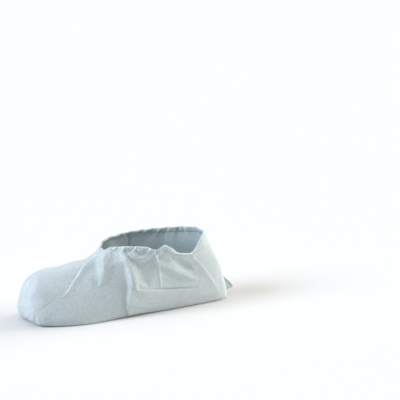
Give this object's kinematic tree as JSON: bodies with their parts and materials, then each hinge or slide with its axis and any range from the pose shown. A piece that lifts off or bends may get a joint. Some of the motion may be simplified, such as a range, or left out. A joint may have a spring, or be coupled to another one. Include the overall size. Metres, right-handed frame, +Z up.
{
  "type": "shoe cover",
  "caption": "Disposable overshoe of thin non-woven cloth in its worn form: a hollow bag with a gathered elastic mouth, sewn toe and heel seams and a flat sole.",
  "frame": {"origin": "on the ground, on the flat sole, in the foot's middle plane near half the cover's length", "axes": "+X from toe to heel, -Y towards the inner side of the foot, +Z up"},
  "size_m": [0.3268, 0.1011, 0.0982],
  "materials": {
    "nonwoven": "matt spunbond cloth, pale blue-white",
    "hem_cloth": "matt spunbond cloth gathered over elastic",
    "seam_cloth": "folded cloth edge with white thread"
  },
  "bodies": {
    "root": {"cover_body": "nonwoven", "elastic_hem": "hem_cloth", "toe_seam": "seam_cloth", "heel_seam": "seam_cloth"}
  },
  "joints": []
}
